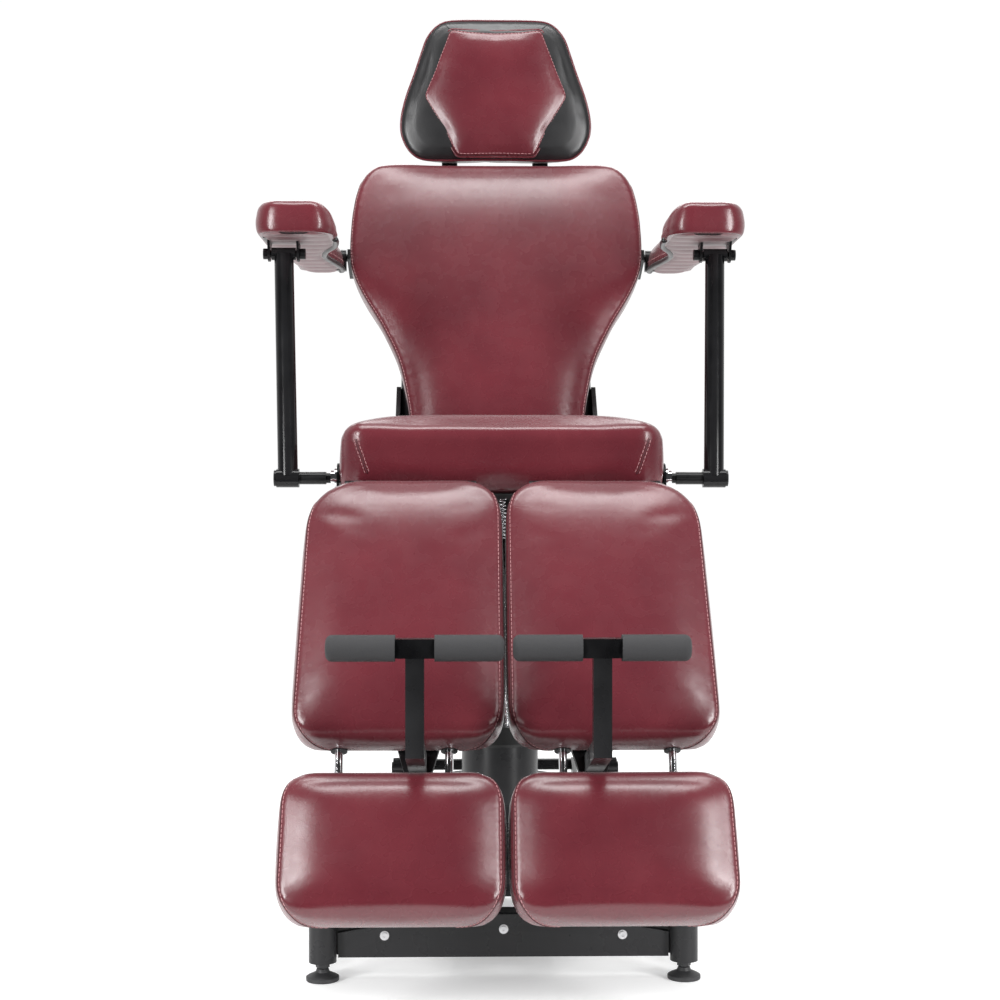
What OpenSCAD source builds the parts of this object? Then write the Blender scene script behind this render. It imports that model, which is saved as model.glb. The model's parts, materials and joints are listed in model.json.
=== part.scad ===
// Reclining hydraulic client chair with split leg rests, foot bars, linked armrests and a headrest.
// Millimetres. X to the sitter's left and right, -Y to the front, +Z up, floor at Z = 0.

/* [Base] */
// Half the distance between the left and right corner posts
post_x = 273; // [240:1:300]
// Half the distance between the front and rear corner posts
post_y = 285; // [260:1:300]
// Radius of a corner post
post_r = 21; // [18:0.5:24]
// Height of the corner posts' tops
post_top = 112; // [104:1:125]
// Diameter of a levelling foot
foot_d = 50; // [40:1:60]

/* [Pump and ram] */
// Outer radius of the pump cylinder
pump_r = 63.5; // [58:0.5:68]
// Radius of the chromed ram
ram_r = 35; // [30:0.5:38]
// Height of the underside of the swivel hub
hub_z = 612; // [600:1:620]

/* [Seat] */
// Width of the seat
seat_w = 514; // [480:1:514]
// Distance from the column to the seat's front edge
seat_front = 227; // [215:1:235]
// Distance from the column to the seat's rear edge
seat_back = 188; // [170:1:190]
// Height of the seat's top
seat_top = 848; // [835:1:860]
// Height of the underside of the seat board
seat_board_z = 722; // [720:1:724]

/* [Backrest and headrest] */
// Lean of the backrest from the vertical, in degrees
back_lean = 18; // [14:1:20]
// Thickness of the backrest cushion
back_t = 75; // [65:1:80]
// Thickness of the headrest cushion
head_t = 65; // [55:1:70]

/* [Armrests] */
// Length of the armrest pad
arm_len = 490; // [440:1:500]
// Width of the armrest pad at the front
arm_w = 122; // [110:1:126]
// Outer radius of the arm post tube
arm_tube_r = 16; // [14:0.5:16]

/* [Leg rests] */
// Angle of the leg rests from the vertical, in degrees
leg_lean = 30; // [25:1:35]
// Length of a leg pad
leg_len = 412; // [404:1:414]
// Thickness of a leg pad
leg_t = 72; // [66:1:74]
// Gap between the two leg pads
leg_gap = 10; // [8:1:16]
// Width of a leg pad
leg_w = 298; // [280:1:300]
// Length of a foot pad
foot_len = 204; // [196:1:206]
// Radius of the chromed footrest rods
rod_r = 6; // [5:0.5:6]

/* [Foot bars] */
// Radius of the foam grips
grip_r = 18; // [15:0.5:20]
// Length of a foot bar over both grips
bar_len = 240; // [220:1:250]
// Side of the square foot bar tube
bar_side = 25; // [22:1:25]

/* [Hidden] */
$fn = 64;
// The origin is the middle of the whole chair's box, so the column stands a little behind it.
column_y = 42.5;
run = 0.06;                       // radial clearance of a running fit
board_t = 12;
rail = 30;                        // side of the square seat frame tube
foot_top = 28;

// Pivot points, as [Y, Z] from the column axis at the floor.
back_pivot = [240, 803];
arm_pivot_low = [-126, 759];
arm_link = [122, 375];            // one side of the armrest parallelogram
arm_pivot_rear = back_pivot + arm_link;
arm_pivot_front = arm_pivot_low + arm_link;
leg_origin = [-275, 755];         // front top edge of the leg pads
leg_pivot_local = [53.3, 15.7];   // depth and height in the leg rest's own plane
head_pivot = [508, 1450];
pedal_pivot = [88, 150];
back_origin = [199, 800];         // front bottom edge of the backrest

arm_x = 360;                      // arm post at the top
arm_x_low = 341;                  // arm post at the bottom
arm_pad_z = 1151;
arm_pad_front = -110;
arm_pad_t = 56;
bars_x = 88;                      // headrest bars
upright_x = 164.5;
upright_r = 12.5;
hinge_x = 165;                    // inner face of the recline brackets
leg_mid = leg_gap / 2 + leg_w / 2;
foot_bar_x = 126;
foot_bar_y = -580;
foot_bar_z = 525;
foot_bar_bend = 388;
foot_bar_drop = 15;               // fall of the foot bar's lower tube, in degrees
rod_xs = [81, 238];
rod_depth = 60;
guide_len = 250;
foot_start = 464;                 // start of the foot pad, measured down the leg plane
foot_w = 306;

// ---- helpers ----

// Moves everything from the column's axis to the chair's own origin.
module placed() translate([0, column_y, 0]) children();

// Points of an arc about c.
function arc(c, r, a0, a1, n = 8) =
    [for (i = [0:n]) let (a = a0 + (a1 - a0) * i / n) c + r * [cos(a), sin(a)]];

// A rectangle from [x0, y0] to [x1, y1] with its own radius at each corner, from lower left round.
function round_rect(x0, y0, x1, y1, r) = concat(
    arc([x0 + r[0], y0 + r[0]], r[0], 180, 270),
    arc([x1 - r[1], y0 + r[1]], r[1], 270, 360),
    arc([x1 - r[2], y1 - r[2]], r[2], 0, 90),
    arc([x0 + r[3], y1 - r[3]], r[3], 90, 180));

// One point of a smooth curve through p, between its points i and i + 1.
function curve_at(p, i, t) = let (
    n = len(p) - 1, a = p[max(i - 1, 0)], b = p[i], c = p[i + 1], d = p[min(i + 2, n)])
    0.5 * (2 * b + (c - a) * t + (2 * a - 5 * b + 4 * c - d) * t * t
        + (3 * b - a - 3 * c + d) * t * t * t);

// A smooth curve through the points p.
function smooth(p, n = 4) = concat(
    [for (i = [0:len(p) - 2], k = [0:n - 1]) curve_at(p, i, k / n)], [p[len(p) - 1]]);

// The right half's curve, from the bottom up, made into a whole outline.
function mirrored(p) = concat(p, [for (i = [len(p) - 1:-1:0]) [-p[i][0], p[i][1]]]);

// An outline drawn in towards the point c by d on each side.
function inset(p, c, size, d) = [for (q = p) [
    c[0] + (q[0] - c[0]) * (1 - 2 * d / size[0]), c[1] + (q[1] - c[1]) * (1 - 2 * d / size[1])]];

// A plate t thick along X from x, with its outline given as [Y, Z] points.
module plate_x(x, t, pts) translate([x, 0, 0]) rotate([90, 0, 90]) linear_extrude(t) polygon(pts);

// A round bar along X from x0 to x1 at p = [Y, Z].
module bar_x(x0, x1, p, r) translate([x0, p[0], p[1]]) rotate([0, 90, 0]) cylinder(r = r, h = x1 - x0);

// Draws its children on the right, and again mirrored on the left.
module both_sides() for (s = [0, 1]) mirror([s, 0, 0]) children();

// Draws its children on one side: 1 for right, -1 for left.
module on_side(side) mirror([side < 0 ? 1 : 0, 0, 0]) children();

// The backrest's own space: X across, Y deeper into the back, Z up the back.
module on_back() translate([0, back_origin[0], back_origin[1]]) rotate([-back_lean, 0, 0]) children();

// The leg rest's own space: X across, Y deeper into the pad, Z up towards the knee.
module on_leg() translate([0, leg_origin[0], leg_origin[1]]) rotate([-leg_lean, 0, 0]) children();

// A slab t deep along Y from y, with its outline given as [X, Z] points.
module slab_y(y, t, pts) translate([0, y + t, 0]) rotate([90, 0, 0]) linear_extrude(t) polygon(pts);

// ---- base ----

bar_low = 36;
bar_high = 98;
bar_front = post_y - 9;
bar_deep = 40;
sheet = 4;

// Two corner posts joined by a folded channel, at the front.
module post_bar() {
    difference() {
        union() {
            for (s = [-1, 1]) translate([s * post_x, -post_y, foot_top])
                cylinder(r = post_r, h = post_top - foot_top);
            translate([-post_x, -bar_front, bar_low]) cube([2 * post_x, bar_deep, bar_high - bar_low]);
        }
        translate([-post_x + post_r + sheet, -bar_front + sheet, bar_low - 1])
            cube([2 * (post_x - post_r - sheet), bar_deep - 2 * sheet, bar_high - bar_low + 1 - sheet]);
        for (s = [-1, 1]) translate([s * post_x, -post_y, foot_top - 1]) cylinder(r = 6, h = 33);
    }
}

module base_front_bar() color([0.09, 0.09, 0.1]) placed() post_bar();

module base_rear_bar() color([0.09, 0.09, 0.1]) placed() mirror([0, 1, 0]) post_bar();

// Square tube along Y, open at its ends.
module tube_y(x, y0, y1, z0, z1, w, wall) difference() {
    translate([x - w / 2, y0, z0]) cube([w, y1 - y0, z1 - z0]);
    translate([x - w / 2 + wall, y0 - 1, z0 + wall]) cube([w - 2 * wall, y1 - y0 + 2, z1 - z0 - 2 * wall]);
}

module base_rails() color([0.09, 0.09, 0.1]) placed() {
    for (x = [-post_x, post_x]) difference() {
        tube_y(x, -post_y + 15, post_y - 15, 46, 86, 36, 3);
        for (y = [-post_y, post_y]) translate([x, y, 0]) cylinder(r = post_r, h = 200);
        for (s = [-1, 1]) translate([-400, s * (bar_front - bar_deep / 2) - bar_deep / 2, 0])
            cube([800, bar_deep, 200]);
    }
    for (x = [-75, 75]) tube_y(x, -bar_front + bar_deep, bar_front - bar_deep, 50, 90, 40, 3);
}

module pump_plate() color([0.1, 0.1, 0.11]) placed() difference() {
    translate([-110, -130, 90]) cube([220, 260, 8]);
    for (x = [-75, 75], y = [-95, 95]) translate([x, y, 80]) cylinder(r = 6.5, h = 30);
}

panel_x = 250;
panel_front = bar_front + 6;

module base_front_panel() color([0.11, 0.11, 0.12]) placed() difference() {
    translate([0, -bar_front, 0]) rotate([90, 0, 0]) linear_extrude(6)
        polygon(concat([[-panel_x, 33], [panel_x, 33]],
            [for (i = [0:24]) let (x = panel_x * (1 - i / 12)) [x, 70 + 27 * cos(90 * x / panel_x)]]));
    for (x = [-180, 0, 180]) translate([x, -bar_front + 1, x == 0 ? 75 : 66]) rotate([90, 0, 0])
        cylinder(r = 3.1, h = 20);
}

// Three screws, each through a pale washer.
module panel_screws() color([0.8, 0.8, 0.8]) placed()
    for (x = [-180, 0, 180]) translate([x, -panel_front, x == 0 ? 75 : 66]) rotate([90, 0, 0]) {
        difference() {
            cylinder(r = 7, h = 1.5);
            translate([0, 0, -1]) cylinder(r = 3.1, h = 4);
        }
        translate([0, 0, -6]) cylinder(r = 3, h = 7.5);
        translate([0, 0, 1.5]) difference() {
            cylinder(r = 5, h = 3);
            translate([0, 0, 1.2]) cylinder(r = 2.4, h = 3, $fn = 6);
        }
    }

module levelling_feet() color([0.15, 0.15, 0.16]) placed()
    for (x = [-post_x, post_x], y = [-post_y, post_y]) translate([x, y, 0]) {
        rotate_extrude() polygon([[0, 0], [foot_d / 2 - 1, 0], [foot_d / 2, 1], [foot_d / 2, 6],
            [foot_d / 2 - 3, 8], [11, 13], [9, 18], [5.9, 18], [5.9, 55], [0, 55]]);
        translate([0, 0, 20]) difference() {
            cylinder(r = 10.5, h = 8, $fn = 6);
            translate([0, 0, -1]) cylinder(r = 5.9, h = 10);
        }
    }

// ---- pump and ram ----

oil_r = 50;
lug_x = 60;

module pump_housing() color([0.12, 0.12, 0.13]) placed() difference() {
    union() {
        translate([0, 0, 98]) linear_extrude(82) polygon(round_rect(-72, -72, 72, 72, [24, 24, 24, 24]));
        translate([0, 0, 180]) cylinder(r = pump_r + 3, h = 42);
        for (s = [-1, 1]) translate([s * lug_x - 8, 60, pedal_pivot[1] - 18]) cube([16, 42, 36]);
    }
    translate([0, 0, 112]) cylinder(r = oil_r, h = 200);
    bar_x(-100, 100, pedal_pivot, 7);
    for (x = [-58, 58], y = [-58, 58]) translate([x, y, 90]) cylinder(r = 5, h = 30);
}

module pump_cylinder() color([0.1, 0.1, 0.11]) placed() difference() {
    translate([0, 0, 222]) cylinder(r = pump_r, h = 96);
    translate([0, 0, 200]) cylinder(r = oil_r, h = 200);
}

module ram_guide_bush() color([0.72, 0.55, 0.25]) placed() difference() {
    translate([0, 0, 262]) cylinder(r = oil_r, h = 56);
    translate([0, 0, 260]) cylinder(r = ram_r + run, h = 70);
}

module ram_wiper_seal() color([0.06, 0.06, 0.06]) placed() translate([0, 0, 318]) rotate_extrude()
    polygon([[ram_r + run, 0], [pump_r - 1, 0], [pump_r - 2, 4], [ram_r + 7, 30], [ram_r + run, 31]]);

module pump_bolts() color([0.55, 0.55, 0.56]) placed()
    for (x = [-75, 75], y = [-95, 95]) translate([x, y, 98]) {
        cylinder(r = 12, h = 2);
        translate([0, 0, 2]) cylinder(r = 9.5, h = 7, $fn = 6);
        translate([0, 0, -8]) cylinder(r = 6, h = 8);
    }

pedal_x = 132;

module pedal_pin() color([0.6, 0.6, 0.62]) placed() {
    bar_x(-pedal_x - 11, pedal_x + 11, pedal_pivot, 7);
    both_sides() bar_x(pedal_x + 8.3, pedal_x + 13, pedal_pivot, 11);
}

tread_z = 236;
pedal_bar = [214, 250];

module pedal_arms() color([0.09, 0.09, 0.1]) placed() {
    both_sides() difference() {
        union() {
            bar_x(pedal_x, pedal_x + 8, pedal_pivot, 16);
            plate_x(pedal_x, 8, [[76, 140], [100, 142], [150, 212], [222, 240], [226, 252], [216, 262],
                [140, 236], [74, 160]]);
        }
        bar_x(pedal_x - 1, pedal_x + 9, pedal_pivot, 7 + run);
    }
    bar_x(-pedal_x, pedal_x, pedal_bar, 10);
}

// Ribbed metal foot plate, crowned across its width, between the pedal's arms.
module pedal_tread() color([0.72, 0.73, 0.74]) placed() difference() {
    translate([0, 203.5, 0]) rotate([90, 0, 0]) linear_extrude(52)
        polygon(concat([[-pedal_x, tread_z - 4], [-pedal_x, tread_z - 8], [pedal_x, tread_z - 8],
            [pedal_x, tread_z - 4]], [for (i = [1:19]) let (x = pedal_x * (1 - i / 10))
            [x, tread_z - 4 + 12 * cos(90 * x / pedal_x)]]));
    for (i = [-4:4]) translate([i * 24 - 2, 140, tread_z + 2 + 5 * cos(0.65 * i * 24)]) cube([4, 80, 20]);
}

module ram() color([0.8, 0.8, 0.82]) placed() {
    translate([0, 0, 240]) cylinder(r = ram_r, h = hub_z - 252);
    translate([0, 0, hub_z - 12]) cylinder(r = 68, h = 11.7);
    translate([0, 0, hub_z - 0.3]) cylinder(r = 25, h = 46);
}

// ---- seat carriage ----

rail_z = seat_board_z - rail;
hub_top = rail_z - 12;
lever_pivot = [60, rail_z - 14];

module swivel_hub() color([0.09, 0.09, 0.1]) placed() {
    difference() {
        union() {
            translate([0, 0, hub_z]) cylinder(r = 45, h = hub_top - hub_z);
            translate([-165, -110, hub_top]) cube([330, 220, 12]);
            translate([-92, -14, hub_z + 12]) cube([60, 28, 12]);
            translate([149, lever_pivot[0] - 14, lever_pivot[1] - 14])
                cube([16.5, 28, hub_top - lever_pivot[1] + 14]);
        }
        translate([0, 0, hub_z - 1]) cylinder(r = 25 + run, h = 50);
        translate([-76, 0, hub_z]) cylinder(r = 5, h = 40);
    }
    translate([-76, 0, hub_z + 12]) cylinder(r = 5, h = 40);
    bar_x(160, 179, lever_pivot, 6);
}

module seat_side_rails() color([0.09, 0.09, 0.1]) placed()
    for (x = [-150, 150]) tube_y(x, -140, 205, rail_z, seat_board_z, rail, 2);

// Square tube along X, open at its ends.
module tube_x(x, y, z0) difference() {
    translate([-x, y, z0]) cube([2 * x, rail, rail]);
    translate([-x - 1, y + 2, z0 + 2]) cube([2 * x + 2, rail - 4, rail - 4]);
}

module seat_cross_rails() color([0.09, 0.09, 0.1]) placed() {
    tube_x(250, -170, rail_z);
    tube_x(hinge_x, 205, rail_z);
}

module seat_board() color([0.16, 0.14, 0.13]) placed() translate([0, 0, seat_board_z])
    linear_extrude(board_t) polygon(round_rect(8 - seat_w / 2, -seat_front + 50, seat_w / 2 - 8, seat_back - 8, [12, 12, 12, 12]));

// Seat cushion: its front face slants back towards the bottom, with bores for the arm studs.
module seat_pad() color([0.49, 0.22, 0.26]) placed() difference() {
    translate([-seat_w / 2, 0, 0]) rotate([90, 0, 90]) linear_extrude(seat_w) polygon(concat(
        [[-seat_front + 45, seat_board_z + board_t]],
        arc([-seat_front + 22, seat_top - 26], 22, 180, 90),
        arc([seat_back - 18, seat_top - 22], 18, 90, 0), [[seat_back, seat_board_z + board_t]]));
    both_sides() bar_x(seat_w / 2 - 20, seat_w / 2 + 1, arm_pivot_low, 9);
}

mount_x = seat_w / 2 + 1;

module arm_mounts() color([0.09, 0.09, 0.1]) placed() both_sides() {
    difference() {
        plate_x(mount_x, 4, concat([[-150, 698], [-102, 698]],
            arc(arm_pivot_low, 24, 0, 180)));
        bar_x(mount_x - 1, mount_x + 5, arm_pivot_low, 8);
    }
    translate([165, -140, rail_z + 4]) cube([mount_x - 165, 28, 18]);
    bar_x(mount_x - 14, arm_x_low + 20, arm_pivot_low, 8);
    bar_x(mount_x + 22, arm_x_low - 18.4, arm_pivot_low, 10);
    bar_x(arm_x_low + 18.4, arm_x_low + 22, arm_pivot_low, 13);
}

module arm_washers() color([0.85, 0.85, 0.86]) placed() both_sides() difference() {
    union() {
        bar_x(mount_x + 4, mount_x + 8, arm_pivot_low, 17);
        bar_x(mount_x + 8, mount_x + 14, arm_pivot_low, 13);
    }
    bar_x(mount_x, mount_x + 20, arm_pivot_low, 8);
}

module recline_brackets() color([0.09, 0.09, 0.1]) placed() both_sides() {
    plate_x(hinge_x, 10, concat([[207, rail_z - 8], [262, rail_z - 8]], arc(back_pivot, 22, 0, 180)));
    bar_x(hinge_x + 10, hinge_x + 24, back_pivot, 9);
    bar_x(hinge_x + 20.4, hinge_x + 26, back_pivot, 14);
}

knuckle_x = [50, 205];
knuckle_w = 30;
ear_w = 8.5;
leg_pivot = leg_origin + [
    leg_pivot_local[0] * cos(leg_lean) + leg_pivot_local[1] * sin(leg_lean),
    leg_pivot_local[1] * cos(leg_lean) - leg_pivot_local[0] * sin(leg_lean)];

// Ears on the seat frame's front rail, with a hinge pin through each pair.
module leg_hinge_ears() color([0.09, 0.09, 0.1]) placed() both_sides() for (x = knuckle_x) {
    for (e = [x - ear_w - 0.4, x + knuckle_w + 0.4]) {
        bar_x(e, e + ear_w, leg_pivot, 12);
        plate_x(e, ear_w, [[-228, 734], [-224, 752], [-212, 749], [-196, 717], [-170, 717],
            [-170, 698], [-176, 699], [-195, 712]]);
    }
    bar_x(x - ear_w, x + knuckle_w + ear_w, leg_pivot, 6);
}

module swivel_lever() color([0.09, 0.09, 0.1]) placed() translate([-76, 0, hub_z + 24.3]) difference() {
    union() {
        cylinder(r = 12, h = 14);
        translate([-8, 0, 7]) rotate([0, -90, 0]) cylinder(r = 5, h = 130);
        translate([-120, 0, 7]) rotate([0, -90, 0]) cylinder(r = 11, h = 70);
    }
    translate([0, 0, -1]) cylinder(r = 5 + run, h = 20);
}

module recline_lever() color([0.09, 0.09, 0.1]) placed() {
    difference() {
        union() {
            bar_x(167, 175, lever_pivot, 12);
            plate_x(167, 8, [[56, 672], [64, 672], [70, 650], [60, 636], [48, 640]]);
        }
        bar_x(166, 176, lever_pivot, 6 + run);
    }
    bar_x(175, 200, [58, 650], 6);
    bar_x(200, 285, [58, 650], 12);
}

// ---- backrest ----

// Half the backrest's outline: half width and height up the back.
back_side = smooth([[0, -2], [110, -2], [150, 8], [157, 80], [164, 128], [179, 192], [211, 261],
    [250, 327], [270, 384], [270, 467], [260, 535], [240, 575], [205, 592], [110, 593], [0, 593]]);
back_outline = mirrored(back_side);
back_mid = [0, 294];
back_size = [540, 592];

module back_pad() color([0.49, 0.22, 0.26]) placed() on_back() slab_y(0, back_t, back_outline);

module back_board() color([0.1, 0.1, 0.1]) placed() on_back()
    slab_y(back_t, board_t, inset(back_outline, back_mid, back_size, 14));

frame_y = back_t + board_t;      // rear face of the back board, into the back

module back_uprights() color([0.09, 0.09, 0.1]) placed() on_back()
    for (x = [-upright_x, upright_x]) translate([x, frame_y + upright_r, 70]) difference() {
        cylinder(r = upright_r, h = 480);
        translate([0, 0, -1]) cylinder(r = upright_r - 2, h = 482);
    }

side_arm_x = 273;                // outer plates that carry the armrests' rear pivots
rail_v = [150, 400];
arm_stud = [38.2, 409.9];        // rear armrest pivot in the back's own space

module back_cross_rails() color([0.09, 0.09, 0.1]) placed() {
    on_back() difference() {
        union() {
            translate([-upright_x, frame_y + 2, rail_v[0]]) cube([2 * upright_x, 20, 25]);
            translate([-side_arm_x, frame_y + 2, rail_v[1]]) cube([2 * side_arm_x, 20, 24]);
        }
        for (x = [-upright_x, upright_x]) translate([x, frame_y + upright_r, 0])
            cylinder(r = upright_r, h = 700);
    }
    both_sides() {
        on_back() plate_x(side_arm_x, 5, [[arm_stud[0] - 12, arm_stud[1] - 9],
            [frame_y + 22, rail_v[1]], [frame_y + 22, rail_v[1] + 24],
            [arm_stud[0] - 12, arm_stud[1] + 12]]);
        bar_x(side_arm_x, side_arm_x + 28, arm_pivot_rear, 7);
        bar_x(side_arm_x + 28, side_arm_x + 32, arm_pivot_rear, 11);
    }
    on_back() for (x = [-bars_x, bars_x], v = [440, 550]) difference() {
        translate([x - 20, frame_y, v]) cube([40, 14, 30]);
        translate([x - 15.3, frame_y + 3.7, v - 1]) cube([30.6, 6.6, 32]);
    }
}

module back_hinge_plates() color([0.09, 0.09, 0.1]) placed() both_sides() difference() {
    union() {
        on_back() plate_x(hinge_x + 12, 8, [[24, 0], [22, 30], [frame_y + 1, 170],
            [frame_y + 25, 170], [frame_y + 25, 72], [52, -2]]);
        bar_x(hinge_x + 12, hinge_x + 20, back_pivot, 21);
    }
    bar_x(hinge_x, hinge_x + 30, back_pivot, 9 + run);
}

// ---- headrest ----

head_y = 388;
head_z = 1366;
head_side = smooth([[0, 0], [120, 0], [158, 12], [178, 44], [181, 78], [172, 122], [157, 166],
    [143, 206], [128, 240], [102, 264], [60, 270], [0, 271]]);
head_outline = mirrored(head_side);

// Headrest cushion: the rear layer is smaller, so its sides fall in towards the board.
module head_pad() color([0.49, 0.22, 0.26]) placed() translate([0, head_y, head_z]) {
    slab_y(0, 36, head_outline);
    slab_y(36, head_t - 36, inset(head_outline, [0, 136], [362, 271], 16));
}

module head_bracket() color([0.1, 0.1, 0.1]) placed() {
    translate([0, head_y + head_t, head_z])
        slab_y(0, 10, inset(head_outline, [0, 136], [362, 271], 26));
    for (x = [-46, 38]) difference() {
        union() {
            plate_x(x, 8, [[head_y + head_t + 10, 1420], [head_y + head_t + 10, 1490],
                [head_pivot[0], 1466], [head_pivot[0], 1434]]);
            bar_x(x, x + 8, head_pivot, 16);
        }
        bar_x(x - 1, x + 9, head_pivot, 9 + run);
    }
}

module head_slider() color([0.09, 0.09, 0.1]) placed() {
    on_back() for (x = [-bars_x, bars_x]) translate([x - 15, frame_y + 4, 425]) cube([30, 6, 300]);
    both_sides() bar_x(46.4, bars_x - 10, head_pivot, 14);
    bar_x(-bars_x - 18, bars_x + 18, head_pivot, 9);
}

// Lobed hand knob, with its shaft pointing down.
module knob(r, h, shaft_r, shaft_l) {
    linear_extrude(h) polygon([for (a = [0:5:355]) (r - 1.2 + 1.2 * cos(8 * a)) * [cos(a), sin(a)]]);
    translate([0, 0, h]) cylinder(r = r - 6, h = 2);
    translate([0, 0, -shaft_l]) cylinder(r = shaft_r, h = shaft_l);
}

module head_lock_knob() color([0.07, 0.07, 0.07]) placed() on_back()
    translate([bars_x, frame_y + 26, 455]) rotate([-90, 0, 0]) knob(17, 20, 5, 11.8);

// ---- armrests ----

bolt_r = 6;
fork_x = arm_x - 22;             // inner face of the fork's inner ear
fork_w = 44;

module arm_post(side) color([0.05, 0.05, 0.055]) placed() on_side(side) difference() {
    union() {
        bar_x(arm_x_low - 18, arm_x_low + 18, arm_pivot_low, 15);
        bar_x(arm_x - 20, arm_x + 20, arm_pivot_front, 10.5);
        translate([arm_x_low, arm_pivot_low[0], arm_pivot_low[1]])
            rotate([-atan(arm_link[0] / arm_link[1]), 0, 0])
            rotate([0, atan((arm_x - arm_x_low) / norm(arm_link)), 0])
            cylinder(r = arm_tube_r, h = norm([norm(arm_link), arm_x - arm_x_low]) - 5);
    }
    bar_x(arm_x_low - 30, arm_x_low + 30, arm_pivot_low, 8 + run);
    bar_x(arm_x - 30, arm_x + 30, arm_pivot_front, bolt_r + 0.25);
}

module arm_post_left() arm_post(-1);
module arm_post_right() arm_post(1);

arm_rear = arm_pad_front + arm_len;
arm_boss_x = side_arm_x + 7.5;

// Plan of the armrest pad: the inner edge is an S, wide at the front and drawn in behind it.
arm_plan = concat(
    arc([274 + 36, arm_pad_front + 36], 36, 180, 270, 8),
    arc([274 + arm_w - 36, arm_pad_front + 36], 36, 270, 360, 8),
    smooth([[396, 40], [392, 130], [376, 220], [368, 300], [366, 350]], 3),
    arc([366 - 24, arm_rear - 24], 24, 0, 90, 6),
    arc([288 + 20, arm_rear - 20], 20, 90, 180, 6),
    smooth([[288, 350], [292, 290], [303, 220], [306, 170], [296, 110], [280, 60], [274, 10]], 3));

// The bracket's two flat strips, as [X, Y, width, length], and how high they lie in the pad.
strips = [[330, -50, 60, 100], [322, 49, 28, 311]];
strip_t = 4;
strip_z = arm_pad_z + 3;
recess_h = strip_z + strip_t + 0.2 - (arm_pad_z - 1);

// Armrest cushion, with a recess in its underside for the bracket, which the lining covers.
module arm_pad(side) color([0.49, 0.22, 0.26]) placed() on_side(side) difference() {
    translate([0, 0, arm_pad_z]) linear_extrude(arm_pad_t) polygon(arm_plan);
    for (s = strips) translate([s[0] - 0.2, s[1] - 0.2, arm_pad_z - 1])
        cube([s[2] + 0.4, s[3] + 0.4, recess_h]);
    bar_x(270, side_arm_x + 34, arm_pivot_rear, 18);
    translate([270, arm_pivot_rear[0] - 16, arm_pad_z - 1]) cube([side_arm_x + 34 - 270, 38, 24]);
    translate([arm_boss_x + 10, arm_pivot_rear[0] - 12.2, arm_pad_z - 1]) cube([50.2, 20.4, recess_h]);
}

module arm_pad_left() arm_pad(-1);
module arm_pad_right() arm_pad(1);

// Plate under the pad, with a fork for the post at the front and a boss at the rear.
module arm_bracket(side) color([0.07, 0.07, 0.075]) placed() on_side(side) {
    difference() {
        union() {
            for (s = strips) translate([s[0], s[1], strip_z]) cube([s[2], s[3], strip_t]);
            translate([arm_boss_x, arm_pivot_rear[0] - 12, strip_z]) cube([60, 20, strip_t]);
            for (x = [fork_x - 4, fork_x + fork_w])
                plate_x(x, 4, concat([[-24, strip_z + 1], [16, strip_z + 1]],
                    [for (a = [20, 0, -20, -40, -60, -90, -120, -140, -160, -180, -200])
                        arm_pivot_front + 13 * [cos(a), sin(a)]]));
            bar_x(arm_boss_x, arm_boss_x + 16, arm_pivot_rear, 15);
            translate([arm_boss_x, arm_pivot_rear[0] - 12, strip_z])
                cube([16, 24, arm_pivot_rear[1] - strip_z]);
        }
        bar_x(arm_boss_x - 1, arm_boss_x + 17, arm_pivot_rear, 7 + run);
    }
    bar_x(fork_x - 12, fork_x + fork_w + 12, arm_pivot_front, bolt_r);
    bar_x(fork_x - 14, fork_x - 4, arm_pivot_front, 9);
    bar_x(fork_x + fork_w + 4, fork_x + fork_w + 12, arm_pivot_front, 9);
}

module arm_bracket_left() arm_bracket(-1);
module arm_bracket_right() arm_bracket(1);

// ---- leg rests ----

leg_in = leg_gap / 2;
leg_out = leg_in + leg_w;
leg_corners = [40, 38, 85, 62];
leg_taper = 9;

// The leg pad's outline up to v, with its outer edge leaning in towards the knee.
function leg_shape(v) = [for (q = round_rect(leg_in, -leg_len, leg_out, v, leg_corners))
    [q[0] - leg_taper * (q[0] - leg_in) / leg_w * (q[1] + leg_len) / leg_len, q[1]]];

leg_outline = leg_shape(0);
leg_nose = 8;
leg_nose_t = 34;
guide_r = 9;

// Leg cushion with bores for the footrest rods' guides. Its front layer rises over the hinge.
module leg_pad(side) color([0.49, 0.22, 0.26]) placed() on_side(side) on_leg() difference() {
    union() {
        slab_y(0, leg_nose_t, leg_shape(leg_nose));
        slab_y(leg_nose_t, leg_t - leg_nose_t, leg_outline);
    }
    for (x = rod_xs) translate([x, rod_depth, -leg_len - 1]) cylinder(r = guide_r, h = guide_len + 41);
}

module leg_pad_left() leg_pad(-1);
module leg_pad_right() leg_pad(1);

module leg_board(side) color([0.1, 0.1, 0.1]) placed() on_side(side) on_leg()
    slab_y(leg_t, board_t, inset(leg_outline, [leg_mid, -leg_len / 2], [leg_w, leg_len], 12));

module leg_board_left() leg_board(-1);
module leg_board_right() leg_board(1);

spine_y = leg_t + board_t;
// The foot bar's bend, and the direction of its lower tube, as [Y, Z].
bend = [foot_bar_y, foot_bar_bend];
socket_at = 180;                 // start of the socket, measured along the lower tube

// Draws its children with +Z along the foot bar's lower tube, from its bend.
module along_lower_tube() translate([foot_bar_x, bend[0], bend[1]])
    rotate([-90 - foot_bar_drop, 0, 0]) children();

module square_bar(s, h) translate([-s / 2, -s / 2, 0]) cube([s, s, h]);

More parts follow.
